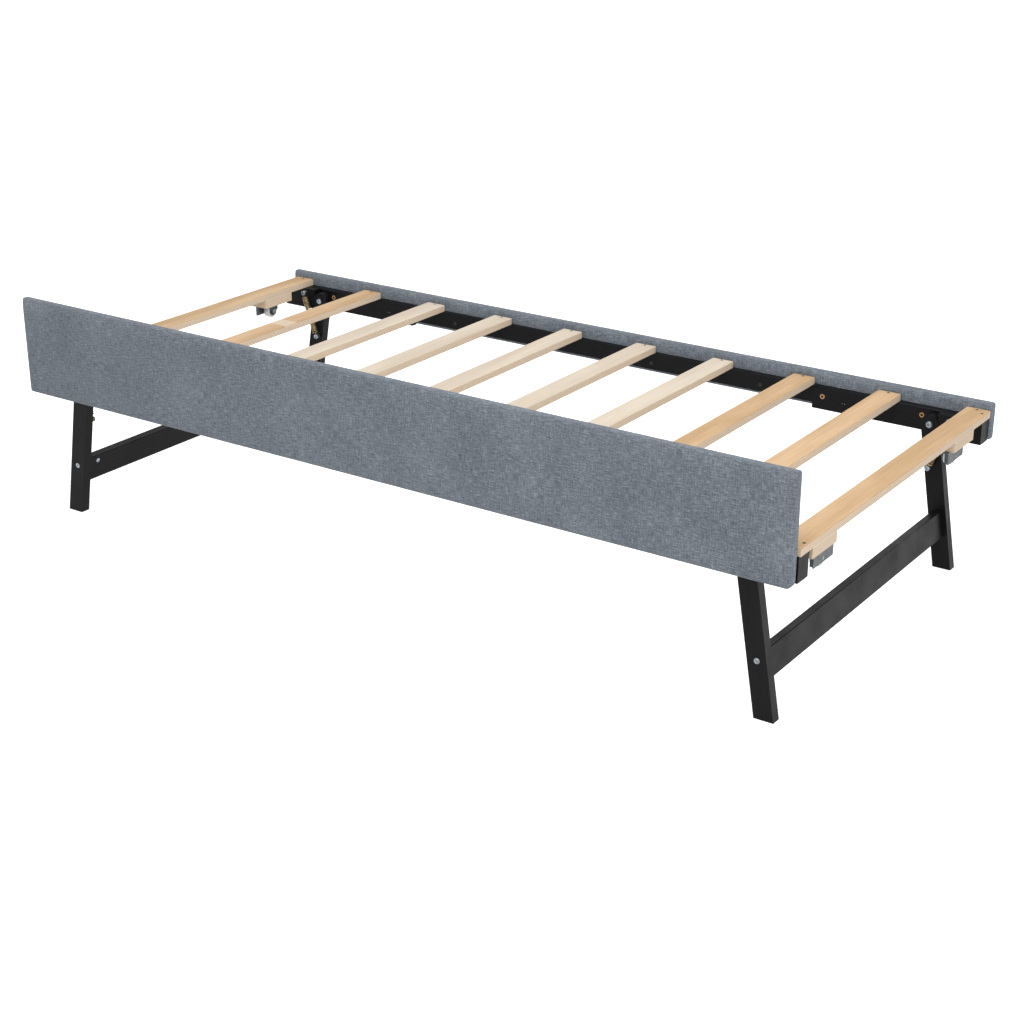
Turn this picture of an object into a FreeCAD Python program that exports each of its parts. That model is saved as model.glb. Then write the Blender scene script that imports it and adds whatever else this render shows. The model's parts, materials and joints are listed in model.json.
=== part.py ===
"""Single pop-up trundle bed, standing on its opened legs.

Frame: origin on the floor under the middle of the bed, +X along the bed,
-Y towards the tall front panel, +Z up. Millimetres.
"""
import FreeCAD, Part
import math
import os

os.makedirs("parts", exist_ok=True)

# ---- driving dimensions ----
LENGTH = 1900.0          # over the side panels
WIDTH = 925.0            # over the side panels
FRONT_TOP = 504.0        # front panel, top edge
FRONT_BOTTOM = 288.0
FRONT_SHIFT = -7.0       # front panel sits this far along X from the back one
BACK_TOP = 372.5         # back panel, top edge
BACK_BOTTOM = 294.7
PANEL_T = 21.0           # board with its padded cover
COVER_T = 3.0            # foam and cloth on each side of the board
PANEL_CORNER = 6.0       # corner radius seen from the side of the bed
PANEL_EDGE = 5.0         # rounding of the long edges

DECK_Z = 343.5           # underside of the slats
SLAT_W = 52.4
SLAT_T = 15.1
SLAT_FAR_Y = 436.5       # slat end, both sides
END_SLAT_FAR_Y = 439.5   # the first and last slats are longer
SLAT_FIRST_X = -910.0
SLAT_LAST_X = 921.0
SLAT_SECOND_X = -684.8
SLAT_PITCH = 201.1

RAIL_T = 14.5
RAIL_H = 39.5
LEG_BOARD_T = 17.1
LEG_BOARD_H = 50.5
LEG_BOARD_IN_X = 550.0   # inboard end of a leg board
LEG_BOARD_OUT_X = 945.0  # outboard end of a leg board

LEG_W = 40.0             # across the leg, seen from the side
LEG_T = 22.4
LEG_OUT_Y = 424.1        # leg's outer face
LEG_LEAN = 9.9           # degrees outward from upright
PIVOT_X = 832.0
PIVOT_Z = 317.0
BOLT_D = 8.0
FIT = 0.1                # running clearance on diameters
GAP = 0.3                # between moving faces

BAR_TOP_S = 191.0        # crossbar, measured down the leg from the pivot
BAR_BOTTOM_S = 249.0
BAR_T = 20.0
BAR_BOLT_S = 205.0

ANCHOR_X = 877.0         # spring bolt on the stop block
ANCHOR_Z = 334.0
HITCH_X = 839.6          # spring bolt on the leg
HITCH_Z = 223.7
SPRING_Y = 392.2         # centre plane of the springs
SPRING_BOLT_D = 6.0
COIL_R = 6.8             # mean radius
WIRE_R = 1.1
COIL_TURNS = 26

BLOCK_H = 21.5           # caster's wooden block
BLOCK_L = 98.0
BRACKET_L = 80.0
BRACKET_BOTTOM = 295.0
BRACKET_T = 2.0
LIP_W = 7.5              # bent front edge of a bracket
ARM_TOP = 21.0           # half width of the inner arm at the flange
ARM_R = 8.5              # round end of the inner arm
WHEEL_R = 17.2
WHEEL_W = 17.0
WHEEL_Z = 302.2
AXLE_D = 6.0

# ---- worked out from them ----
HALF_L = LENGTH / 2
HALF_W = WIDTH / 2
PANEL_IN_Y = HALF_W - PANEL_T
BOARD_IN_Y = PANEL_IN_Y - LEG_BOARD_T
RAIL_IN_Y = PANEL_IN_Y - RAIL_T
LEG_IN_Y = LEG_OUT_Y - LEG_T
LEAN = math.radians(LEG_LEAN)
LEG_R = LEG_W / 2
SLAT_X = [SLAT_FIRST_X]
SLAT_X += [SLAT_SECOND_X + i * SLAT_PITCH for i in range(8)]
SLAT_X += [SLAT_LAST_X]
ENDS = (("left", -1), ("right", 1))
SIDES = (("front", -1), ("back", 1))
# centre of each caster block and bracket along Y, and the bracket face's distance from the slat's centre
CASTERS = {
    "front_left": (-304.0, -308.0, 17.0),
    "front_right": (-342.0, -333.0, 20.5),
    "back_left": (304.0, 303.5, 17.0),
    "back_right": (302.0, 286.0, 16.0),
}

V = FreeCAD.Vector
X_AXIS = V(1, 0, 0)
Y_AXIS = V(0, 1, 0)
Z_AXIS = V(0, 0, 1)


# ---- helpers ----
def box(x0, x1, y0, y1, z0, z1):
    """Box between two corners given in any order."""
    xs, ys, zs = sorted((x0, x1)), sorted((y0, y1)), sorted((z0, z1))
    return Part.makeBox(xs[1] - xs[0], ys[1] - ys[0], zs[1] - zs[0], V(xs[0], ys[0], zs[0]))


def rod(r, start, end):
    """Cylinder of radius r from start to end."""
    along = end - start
    return Part.makeCylinder(r, along.Length, start, along)


def group(shapes):
    """Separate solids kept in one node."""
    return Part.makeCompound(shapes)


def save(name, shape):
    """Write one node."""
    shape.exportStep("parts/%s.step" % name)


def edges_along(shape, axis, test=None):
    """Straight edges parallel to axis whose middle passes test."""
    found = []
    for edge in shape.Edges:
        if not isinstance(edge.Curve, Part.Line):
            continue
        if abs(edge.Curve.Direction.dot(axis)) < 0.999:
            continue
        middle = edge.CenterOfMass
        if test is None or test(middle):
            found.append(edge)
    return found


def leg_point(sx, s, t, y):
    """Point s down the open leg from its pivot and t outboard of its centre line."""
    x = PIVOT_X + s * math.sin(LEAN) + t * math.cos(LEAN)
    z = PIVOT_Z - s * math.cos(LEAN) + t * math.sin(LEAN)
    return V(sx * x, y, z)


def bolt(head_at, tip_at, shank_r, head_r, head_h):
    """Domed hex-socket bolt: the underside of its head at head_at, its end at tip_at."""
    along = (tip_at - head_at).normalize()
    shank = rod(shank_r, head_at, tip_at)
    top = head_at - along * head_h
    head = rod(head_r, top, head_at)
    rim = [e for e in head.Edges if (e.CenterOfMass - top).Length < 0.01 and e.Closed]
    head = head.makeFillet(head_h * 0.6, rim)
    socket = hex_prism(top - along * 0.1, along, head_r * 0.42, head_h * 0.6)
    return head.fuse(shank).removeSplitter().cut(socket)


def hex_prism(start, along, r, depth):
    """Hexagonal prism from start, used as a driver socket."""
    side = Y_AXIS.cross(along)
    if side.Length < 0.5:
        side = X_AXIS.cross(along)
    side.normalize()
    other = along.cross(side)
    corners = []
    for i in range(7):
        a = math.pi / 3 * i
        corners.append(start + side * (r * math.cos(a)) + other * (r * math.sin(a)))
    return Part.Face(Part.makePolygon(corners)).extrude(along * depth)


def screw(head_at, along, length, shank_r, head_r):
    """Countersunk screw with its flat head flush at head_at."""
    cone = Part.makeCone(head_r, shank_r, head_r - shank_r, head_at, along)
    shank = rod(shank_r, head_at, head_at + along * length)
    socket = hex_prism(head_at - along * 0.1, along, head_r * 0.4, head_r * 0.5)
    return cone.fuse(shank).removeSplitter().cut(socket)


def screw_hole(head_at, along, length, shank_r, head_r):
    """The space that such a screw fills."""
    cone = Part.makeCone(head_r, shank_r, head_r - shank_r, head_at, along)
    return cone.fuse(rod(shank_r, head_at, head_at + along * length))


# ---- side panels ----
def rounded_slab(half_x, y0, y1, z0, z1, corner, edge):
    """Slab standing in the XZ plane with round corners and softened edges."""
    slab = box(-half_x, half_x, y0, y1, z0, z1)
    slab = slab.makeFillet(corner, edges_along(slab, Y_AXIS))
    if edge > 0:
        rim = []
        for e in slab.Edges:
            middle = e.CenterOfMass
            if abs(middle.y - y0) < 0.01 or abs(middle.y - y1) < 0.01:
                rim.append(e)
        slab = slab.makeFillet(edge, rim)
    return slab


def side_panel(side, sy, z0, z1, shift):
    """Board and padded cover of one side panel, moved along X by shift."""
    inner, outer = sy * PANEL_IN_Y, sy * HALF_W
    cover = rounded_slab(HALF_L, inner, outer, z0, z1, PANEL_CORNER, PANEL_EDGE)
    board = rounded_slab(HALF_L - COVER_T, inner + sy * COVER_T, outer - sy * COVER_T,
                         z0 + COVER_T, z1 - COVER_T, PANEL_CORNER - COVER_T, 0)
    board = board.makeChamfer(2.0, board_rim(board))
    for slab in (cover, board):
        slab.translate(V(shift, 0, 0))
    cover = cover.cut(board)
    holes = panel_holes(sy)
    save(side + "_panel_upholstery", cover.cut(holes))
    save(side + "_panel_board", board.cut(holes))


def board_rim(board):
    """Edges around both faces of a panel board."""
    ys = (board.BoundBox.YMin, board.BoundBox.YMax)
    return [e for e in board.Edges if min(abs(e.CenterOfMass.y - y) for y in ys) < 0.01]


def panel_holes(sy):
    """Screw and staple holes through a panel's inner face."""
    tools = [rod(RAIL_SCREW_R, V(x, sy * (PANEL_IN_Y - 1), RAIL_SCREW_Z),
                 V(x, sy * (PANEL_IN_Y + 12), RAIL_SCREW_Z)) for x in RAIL_SCREW_X]
    for _, sx in ENDS:
        for x, z in BOARD_SCREWS:
            tools.append(rod(RAIL_SCREW_R, V(sx * x, sy * (PANEL_IN_Y - 1), z),
                             V(sx * x, sy * (PANEL_IN_Y + 12), z)))
    return group(tools)


# ---- rails, leg boards, stop blocks ----
RAIL_SCREW_X = (-420.0, -140.0, 140.0, 420.0)
RAIL_SCREW_Z = DECK_Z - RAIL_H / 2 - 4
RAIL_SCREW_R = 2.0
RAIL_SCREW_HEAD = 4.2
BOARD_SCREWS = ((573.6, 322.2), (804.0, 325.4))
COUNTERSINK_R = 4.6      # bare wood shows round the screw heads
STAPLE_X = 622.0
STAPLE_Z = 314.5
STAPLE_CROWN = 5.4
STAPLE_WIRE = 1.2
INSERT_R = 6.0


def slat_screw_places():
    """Top of each slat screw, near both ends of every slat."""
    places = []
    for i, x in enumerate(SLAT_X):
        for _, sy in SIDES:
            places.append(V(x, sy * SLAT_SCREW_Y, DECK_Z + SLAT_T))
            if i == len(SLAT_X) - 1:
                places.append(V(x + 18, sy * LAST_SCREW_Y, DECK_Z + SLAT_T))
    return places


SLAT_SCREW_Y = 430.0
LAST_SCREW_Y = 412.0     # the last slat's second screw
SLAT_SCREW_R = 1.6
SLAT_SCREW_HEAD = 3.4
SLAT_SCREW_L = 32.0


def slat_screw_holes():
    """The space of every slat screw."""
    down = V(0, 0, -1)
    return group([screw_hole(p, down, SLAT_SCREW_L, SLAT_SCREW_R, SLAT_SCREW_HEAD)
                  for p in slat_screw_places()])


def rail(side, sy):
    """Support rail between the leg boards of one side."""
    inner = sy * RAIL_IN_Y
    bar = box(-LEG_BOARD_IN_X, LEG_BOARD_IN_X, inner, sy * PANEL_IN_Y, DECK_Z - RAIL_H, DECK_Z)
    bar = bar.makeFillet(2.0, edges_along(bar, X_AXIS, lambda m: abs(m.y - inner) < 0.01))
    holes = [screw_hole(V(x, inner, RAIL_SCREW_Z), V(0, sy, 0), 26, RAIL_SCREW_R, RAIL_SCREW_HEAD)
             for x in RAIL_SCREW_X]
    bar = bar.cut(group(holes)).cut(slat_screw_holes())
    save(side + "_rail", bar)


def leg_board(name, sx, sy):
    """Board at the end of a rail that carries a leg's pivot."""
    inner = sy * BOARD_IN_Y
    bar = box(sx * LEG_BOARD_IN_X, sx * LEG_BOARD_OUT_X, inner, sy * PANEL_IN_Y,
              DECK_Z - LEG_BOARD_H, DECK_Z)
    top = edges_along(bar, X_AXIS, lambda m: abs(m.y - inner) < 0.01 and m.z > DECK_Z - 1)
    bar = bar.makeFillet(4.0, top)
    out = V(0, sy, 0)
    tools = [rod(INSERT_R, V(sx * PIVOT_X, inner - sy, PIVOT_Z), V(sx * PIVOT_X, inner + sy * 14, PIVOT_Z))]
    for x, z in BOARD_SCREWS:
        tools.append(screw_hole(V(sx * x, inner, z), out, 26, RAIL_SCREW_R, COUNTERSINK_R))
    bar = bar.cut(group(tools)).cut(slat_screw_holes()).cut(staple(sx, sy))
    save("leg_board_" + name, bar)


def stop_block(sx, sy):
    """Block that the open leg rests against, outboard of the leg's top."""
    reach = LEG_R + GAP
    z0, z1 = DECK_Z - LEG_BOARD_H, DECK_Z
    corners = []
    for z in (z0, z1):
        corners.append(V(sx * (PIVOT_X + reach / math.cos(LEAN) + (PIVOT_Z - z) * math.tan(LEAN)), 0, z))
    corners += [V(sx * LEG_BOARD_OUT_X, 0, z1), V(sx * LEG_BOARD_OUT_X, 0, z0)]
    face = Part.Face(Part.makePolygon(corners + corners[:1]))
    face.translate(V(0, sy * LEG_IN_Y, 0))
    block = face.extrude(V(0, sy * (BOARD_IN_Y - LEG_IN_Y), 0))
    block = block.makeFillet(1.5, edges_along(block, X_AXIS, lambda m: abs(m.y - sy * LEG_IN_Y) < 0.01))
    bore = rod(SPRING_BOLT_D / 2, V(sx * ANCHOR_X, sy * (LEG_IN_Y - 5), ANCHOR_Z),
               V(sx * ANCHOR_X, sy * (LEG_IN_Y + 16), ANCHOR_Z))
    return block.cut(bore).cut(slat_screw_holes())


# ---- slats ----
def slat(x):
    """Plywood slat with softened long edges."""
    far = END_SLAT_FAR_Y if x in (SLAT_FIRST_X, SLAT_LAST_X) else SLAT_FAR_Y
    board = box(x - SLAT_W / 2, x + SLAT_W / 2, -far, far, DECK_Z, DECK_Z + SLAT_T)
    board = board.makeFillet(2.5, edges_along(board, Y_AXIS, lambda m: m.z > DECK_Z + 1))
    board = board.makeFillet(1.0, edges_along(board, Z_AXIS))
    return board.cut(slat_screw_holes())


# ---- casters ----
def caster_x(sx):
    """Centre of the end slat that carries a caster."""
    return SLAT_FIRST_X if sx < 0 else SLAT_LAST_X


def bracket_face_x(sx, face):
    """Outer face of a caster bracket's upright."""
    return caster_x(sx) + sx * face


def axle_start_x(sx, face):
    """Inner face of the bracket's upright, where the axle starts."""
    return bracket_face_x(sx, face) - sx * BRACKET_T


def wheel_centre_x(sx, face):
    """Middle of the wheel's width."""
    return axle_start_x(sx, face) - sx * (1.5 + WHEEL_W / 2)


def fork_arm_x(sx, face):
    """Inboard face of a bracket's second arm."""
    return wheel_centre_x(sx, face) - sx * (WHEEL_W / 2 + 1.5 + BRACKET_T)


def caster_block(sx, y):
    """Wooden block under an end slat."""
    x = caster_x(sx)
    block = box(x - SLAT_W / 2, x + SLAT_W / 2, y - BLOCK_L / 2, y + BLOCK_L / 2, DECK_Z - BLOCK_H, DECK_Z)
    return block.makeFillet(1.0, edges_along(block, Z_AXIS))


def caster_screw_places(sx, y, face):
    """Heads of the two screws that hold a bracket to its block."""
    z = DECK_Z - BLOCK_H - BRACKET_T
    x = axle_start_x(sx, face) - sx * 12
    return [V(x, y + d, z) for d in (-32.0, 32.0)]


def caster_bracket(sx, y, face):
    """Folded steel bracket: flange on the block, outer plate with a bent edge, round-ended inner arm."""
    top = DECK_Z - BLOCK_H
    outer, inner = bracket_face_x(sx, face), axle_start_x(sx, face)
    arm = fork_arm_x(sx, face)
    upright = box(outer, inner, y - BRACKET_L / 2, y + BRACKET_L / 2, BRACKET_BOTTOM, top)
    upright = upright.makeFillet(2.5, edges_along(upright, X_AXIS, lambda m: m.z < BRACKET_BOTTOM + 1))
    flange = box(outer, arm, y - BRACKET_L / 2, y + BRACKET_L / 2, top - BRACKET_T, top)
    lip = box(outer, outer - sx * LIP_W, y - BRACKET_L / 2, y - BRACKET_L / 2 + BRACKET_T,
              BRACKET_BOTTOM + 3, top)
    round_end = rod(ARM_R, V(arm, y, WHEEL_Z), V(arm + sx * BRACKET_T, y, WHEEL_Z))
    corners = [V(arm, y + dy, z) for dy, z in ((-ARM_TOP, top), (ARM_TOP, top), (ARM_R, WHEEL_Z),
                                               (-ARM_R, WHEEL_Z))]
    web = Part.Face(Part.makePolygon(corners + corners[:1])).extrude(V(sx * BRACKET_T, 0, 0))
    shape = upright.multiFuse([flange, lip, web, round_end]).removeSplitter()
    holes = [rod(AXLE_D / 2, V(outer + sx, y, WHEEL_Z), V(arm - sx, y, WHEEL_Z))]
    for place in caster_screw_places(sx, y, face):
        holes.append(rod(2.0, place - Z_AXIS, place + V(0, 0, 4)))
    return shape.cut(group(holes))


def caster_axle(sx, y, face):
    """Riveted axle, flush with the outer plate and domed on the inner arm."""
    start = V(bracket_face_x(sx, face), y, WHEEL_Z)
    arm = V(fork_arm_x(sx, face), y, WHEEL_Z)
    head = rod(4.5, arm, arm - V(sx * 1.6, 0, 0))
    return rod(AXLE_D / 2, start, arm - V(sx * 1.6, 0, 0)).fuse(head).removeSplitter()


def caster_wheel(sx, y, face):
    """Wheel with a round-shouldered tread and recessed sides."""
    x0 = wheel_centre_x(sx, face) - WHEEL_W / 2
    wheel = Part.makeCylinder(WHEEL_R, WHEEL_W, V(x0, y, WHEEL_Z), X_AXIS)
    wheel = wheel.makeFillet(3.0, [e for e in wheel.Edges if e.Closed and isinstance(e.Curve, Part.Circle)])
    for x in (x0, x0 + WHEEL_W - 2.0):
        ring = Part.makeCylinder(WHEEL_R - 5, 2.0, V(x, y, WHEEL_Z), X_AXIS)
        hub = Part.makeCylinder(6.0, 2.0, V(x, y, WHEEL_Z), X_AXIS)
        wheel = wheel.cut(ring.cut(hub))
    bore = Part.makeCylinder((AXLE_D + FIT) / 2, WHEEL_W + 2, V(x0 - 1, y, WHEEL_Z), X_AXIS)
    return wheel.cut(bore)


# ---- leg frames ----
def leg(sx, sy):
    """Leg board, round at the pivot and cut flat at the floor."""
    foot_s = (PIVOT_Z + 40) / math.cos(LEAN)
    a = leg_point(sx, 0, -LEG_R, 0)
    b = leg_point(sx, foot_s, -LEG_R, 0)
    c = leg_point(sx, foot_s, LEG_R, 0)
    d = leg_point(sx, 0, LEG_R, 0)
    crown = Part.Arc(d, leg_point(sx, -LEG_R, 0, 0), a).toShape()
    wire = Part.Wire([Part.makeLine(a, b), Part.makeLine(b, c), Part.makeLine(c, d), crown])
    face = Part.Face(wire)
    face.translate(V(0, sy * LEG_IN_Y, 0))
    board = face.extrude(V(0, sy * LEG_T, 0))
    board = board.cut(box(-HALF_L * 2, HALF_L * 2, -HALF_W, HALF_W, -200, 0))
    tools = [rod((BOLT_D + FIT) / 2, V(sx * PIVOT_X, sy * (LEG_IN_Y - 1), PIVOT_Z),
                 V(sx * PIVOT_X, sy * (LEG_OUT_Y + 1), PIVOT_Z))]
    tools.append(rod(SPRING_BOLT_D / 2, V(sx * HITCH_X, sy * (LEG_IN_Y - 1), HITCH_Z),
                     V(sx * HITCH_X, sy * (LEG_IN_Y + 15), HITCH_Z)))
    at = leg_point(sx, BAR_BOLT_S, 0, 0)
    tools.append(rod(3.0, V(at.x, sy * (LEG_IN_Y - 1), at.z), V(at.x, sy * (LEG_OUT_Y + 1), at.z)))
    tools.append(rod(BAR_HEAD_R, V(at.x, sy * (LEG_OUT_Y - BAR_HEAD_T), at.z), V(at.x, sy * (LEG_OUT_Y + 1), at.z)))
    return board.cut(tools[0].multiFuse(tools[1:]))


def crossbar(sx):
    """Bar between the two legs of one frame, centred on their width."""
    s0, s1, t0, t1 = BAR_TOP_S, BAR_BOTTOM_S, -BAR_T / 2, BAR_T / 2
    corners = [leg_point(sx, s, t, -LEG_IN_Y) for s, t in ((s0, t0), (s0, t1), (s1, t1), (s1, t0))]
    bar = Part.Face(Part.makePolygon(corners + corners[:1])).extrude(V(0, 2 * LEG_IN_Y, 0))
    bar = bar.makeFillet(1.5, edges_along(bar, Y_AXIS))
    tools = []
    for _, sy in SIDES:
        at = leg_point(sx, BAR_BOLT_S, 0, 0)
        tools.append(rod(3.0, V(at.x, sy * (LEG_IN_Y + 1), at.z), V(at.x, sy * (LEG_IN_Y - BAR_BOLT_IN), at.z)))
        tools.append(barrel_nut(sx, sy, 0.0))
    return bar.cut(group(tools))


BAR_BOLT_IN = 39.0       # how far a cross bolt runs into the bar
NUT_IN = 31.7            # barrel nut's distance from the bar's end
NUT_R = 5.0
BAR_HEAD_R = 6.5         # cross bolt heads, sunk flush so that the leg can fold past its board
BAR_HEAD_T = 3.0


def barrel_nut(sx, sy, bore):
    """Cross dowel set into the bar's inboard face."""
    y = sy * (LEG_IN_Y - NUT_IN)
    start = leg_point(sx, BAR_BOLT_S, -BAR_T / 2, y)
    end = leg_point(sx, BAR_BOLT_S, -BAR_T / 2 + 15, y)
    nut = rod(NUT_R, start, end)
    if bore > 0:
        at = leg_point(sx, BAR_BOLT_S, 0, 0)
        nut = nut.cut(rod(bore, V(at.x, y - 20, at.z), V(at.x, y + 20, at.z)))
    return nut


def cross_bolt(sx, sy):
    """Bolt through a leg into the bar's barrel nut."""
    at = leg_point(sx, BAR_BOLT_S, 0, 0)
    seat = V(at.x, sy * (LEG_OUT_Y - BAR_HEAD_T), at.z)
    return bolt(seat, V(at.x, sy * (LEG_IN_Y - BAR_BOLT_IN), at.z), 3.0, BAR_HEAD_R, BAR_HEAD_T)


# ---- pivots and springs ----
def pivot_bolt(sx, sy):
    """Shoulder bolt that a leg turns on."""
    head = V(sx * PIVOT_X, sy * (LEG_IN_Y - 1.8), PIVOT_Z)
    tip = V(sx * PIVOT_X, sy * (BOARD_IN_Y + 13), PIVOT_Z)
    return bolt(head, tip, BOLT_D / 2, 7.0, 4.0)


def pivot_washer(sx, sy):
    """Washer under a pivot bolt's head."""
    start = V(sx * PIVOT_X, sy * (LEG_IN_Y - 1.8), PIVOT_Z)
    end = V(sx * PIVOT_X, sy * (LEG_IN_Y - GAP), PIVOT_Z)
    return rod(9.0, start, end).cut(rod(BOLT_D / 2, start, end))


def pivot_insert(sx, sy):
    """Threaded insert in a leg board."""
    start = V(sx * PIVOT_X, sy * BOARD_IN_Y, PIVOT_Z)
    end = V(sx * PIVOT_X, sy * (BOARD_IN_Y + 14), PIVOT_Z)
    return rod(INSERT_R, start, end).cut(rod(BOLT_D / 2, start, V(sx * PIVOT_X, sy * (BOARD_IN_Y + 13), PIVOT_Z)))


def spring_bolt(x, z, sy, reach):
    """Bolt that holds a spring's end, standing off the wood on its shank."""
    head = V(x, sy * (SPRING_Y - 1.6), z)
    tip = V(x, sy * (LEG_IN_Y + reach), z)
    collar = rod(SPRING_BOLT_D / 2 + 2.4, V(x, sy * (SPRING_Y + 4.0), z), V(x, sy * LEG_IN_Y, z))
    return bolt(head, tip, SPRING_BOLT_D / 2, 6.2, 3.0).fuse(collar).removeSplitter()


def spring_ends(sx, sy):
    """Centres of a spring's two bolts, and the unit vector between them."""
    top = V(sx * ANCHOR_X, sy * SPRING_Y, ANCHOR_Z)
    low = V(sx * HITCH_X, sy * SPRING_Y, HITCH_Z)
    return top, low, (low - top).normalize()


def eye(centre, along, inner_r, leave):
    """Wire eye round a bolt that runs along Y, with a straight tail along the spring."""
    ring = Part.makeTorus(inner_r + WIRE_R, WIRE_R, centre, Y_AXIS)
    tail = rod(WIRE_R, centre + along * (inner_r + WIRE_R), centre + along * leave)
    return ring.fuse(tail)


def coil(start, along, length):
    """Close helix of round wire from start, along its axis."""
    pitch = length / COIL_TURNS
    helix = Part.makeHelix(pitch, length, COIL_R)
    ring = Part.makeCircle(WIRE_R, V(COIL_R, 0, 0), V(0, COIL_R, pitch / 2 / math.pi))
    wire = Part.Wire(helix).makePipeShell([Part.Wire(ring)], True, True)
    wire.Placement = FreeCAD.Placement(start, FreeCAD.Rotation(Z_AXIS, along))
    return wire


EYE_R = SPRING_BOLT_D / 2 + FIT / 2
COIL_START = 11.0        # from the upper bolt to the coil
COIL_END = 14.0          # from the coil to the lower bolt


def spring_coil(sx, sy):
    """Upper eye and coil as one piece of wire."""
    top, low, along = spring_ends(sx, sy)
    length = (low - top).Length - COIL_START - COIL_END
    body = coil(top + along * COIL_START, along, length)
    bridge = rod(WIRE_R, top + along * (COIL_START - 1), top + along * COIL_START + radial(along) * COIL_R)
    hook = eye(top, along, EYE_R, COIL_START - 0.5)
    return hook.fuse(bridge).fuse(body)


def radial(along):
    """Direction of the coil's first point, across its axis."""
    return FreeCAD.Rotation(Z_AXIS, along).multVec(X_AXIS)


def spring_hook(sx, sy):
    """Lower hook of a spring, a separate swivel piece at the coil's end."""
    top, low, along = spring_ends(sx, sy)
    cap = rod(COIL_R + WIRE_R, low - along * (COIL_END - 1.5), low - along * (COIL_END - 3.5))
    return eye(low, along * -1, EYE_R + 0.3, COIL_END - 2.0).fuse(cap).removeSplitter()


# ---- build ----
def build_panels_and_deck():
    """Everything that the legs hold up."""
    side_panel("front", -1, FRONT_BOTTOM, FRONT_TOP, FRONT_SHIFT)
    side_panel("back", 1, BACK_BOTTOM, BACK_TOP, 0.0)
    for side, sy in SIDES:
        rail(side, sy)
        for end, sx in ENDS:
            leg_board("%s_%s" % (side, end), sx, sy)
    save("stop_blocks", group([stop_block(sx, sy) for _, sy in SIDES for _, sx in ENDS]))
    for i, x in enumerate(SLAT_X):
        save("slat_%02d" % (i + 1), slat(x))


def build_fasteners():
    """Screws, staples, inserts and pivots on the fixed part."""
    down = V(0, 0, -1)
    save("slat_screws", group([screw(p, down, SLAT_SCREW_L, SLAT_SCREW_R, SLAT_SCREW_HEAD)
                               for p in slat_screw_places()]))
    rails, boards, staples = [], [], []
    for _, sy in SIDES:
        out = V(0, sy, 0)
        rails += [screw(V(x, sy * RAIL_IN_Y, RAIL_SCREW_Z), out, 26, RAIL_SCREW_R, RAIL_SCREW_HEAD)
                  for x in RAIL_SCREW_X]
        for _, sx in ENDS:
            for x, z in BOARD_SCREWS:
                head = V(sx * x, sy * (BOARD_IN_Y + 1.2), z)
                boards.append(screw(head, out, 24.8, RAIL_SCREW_R, COUNTERSINK_R - 1.2))
            staples.append(staple(sx, sy))
    save("rail_screws", group(rails))
    save("leg_board_screws", group(boards))
    save("staples", group(staples))
    corners = [(sx, sy) for _, sy in SIDES for _, sx in ENDS]
    save("pivot_bolts", group([pivot_bolt(*c) for c in corners]))
    save("pivot_washers", group([pivot_washer(*c) for c in corners]))
    save("pivot_inserts", group([pivot_insert(*c) for c in corners]))
    anchors = [spring_bolt(sx * ANCHOR_X, ANCHOR_Z, sy, 16) for sx, sy in corners]
    save("spring_anchor_bolts", group(anchors))


def staple(sx, sy):
    """Staple driven from behind a leg board, its two points flush with the face."""
    back, face = sy * PANEL_IN_Y, sy * BOARD_IN_Y
    x0, x1 = sx * STAPLE_X, sx * (STAPLE_X + STAPLE_CROWN)
    z0, z1 = STAPLE_Z, STAPLE_Z + STAPLE_WIRE
    pins = [box(x - STAPLE_WIRE / 2, x + STAPLE_WIRE / 2, back, face, z0, z1) for x in (x0, x1)]
    crown = box(x0, x1, back, back - sy * STAPLE_WIRE, z0, z1)
    return pins[0].fuse([pins[1], crown]).removeSplitter()


def build_casters():
    """Blocks, brackets, axles, screws and wheels under the end slats."""
    blocks, axles, screws = [], [], []
    for side, _ in SIDES:
        for end, sx in ENDS:
            name = "%s_%s" % (side, end)
            block_y, y, face = CASTERS[name]
            places = caster_screw_places(sx, y, face)
            fixing = [bolt(p, p + V(0, 0, 12), 2.0, 4.0, 2.0) for p in places]
            holes = group([rod(2.0, p, p + V(0, 0, 12)) for p in places])
            blocks.append(caster_block(sx, block_y).cut(holes))
            screws += fixing
            axles.append(caster_axle(sx, y, face))
            save("caster_bracket_" + name, caster_bracket(sx, y, face))
            save("caster_wheel_" + name, caster_wheel(sx, y, face))
    save("caster_blocks", group(blocks))
    save("caster_axles", group(axles))
    save("caster_screws", group(screws))


def build_leg_frames():
    """Both folding leg frames and their springs."""
    for end, sx in ENDS:
        for side, sy in SIDES:
            name = "%s_%s" % (side, end)
            save("leg_" + name, leg(sx, sy))
            save("spring_coil_" + name, spring_coil(sx, sy))
            save("spring_hook_" + name, spring_hook(sx, sy))
        save("crossbar_" + end, crossbar(sx))
        pairs = [sy for _, sy in SIDES]
        save("crossbar_bolts_" + end, group([cross_bolt(sx, sy) for sy in pairs]))
        save("crossbar_nuts_" + end, group([barrel_nut(sx, sy, 3.0) for sy in pairs]))
        hitches = [spring_bolt(sx * HITCH_X, HITCH_Z, sy, 15) for sy in pairs]
        save("spring_leg_bolts_" + end, group(hitches))


build_panels_and_deck()
build_fasteners()
build_casters()
build_leg_frames()
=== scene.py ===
"""Looks of a pop-up trundle bed: padded linen panels, birch slats, black timber and its metalwork."""

import json
import logging
import math
from dataclasses import dataclass, field
from enum import Enum
from typing import Iterable, Optional, Sequence, Union

import bmesh
import bpy
import numpy as np
from mathutils import Matrix, Vector, noise

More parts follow.
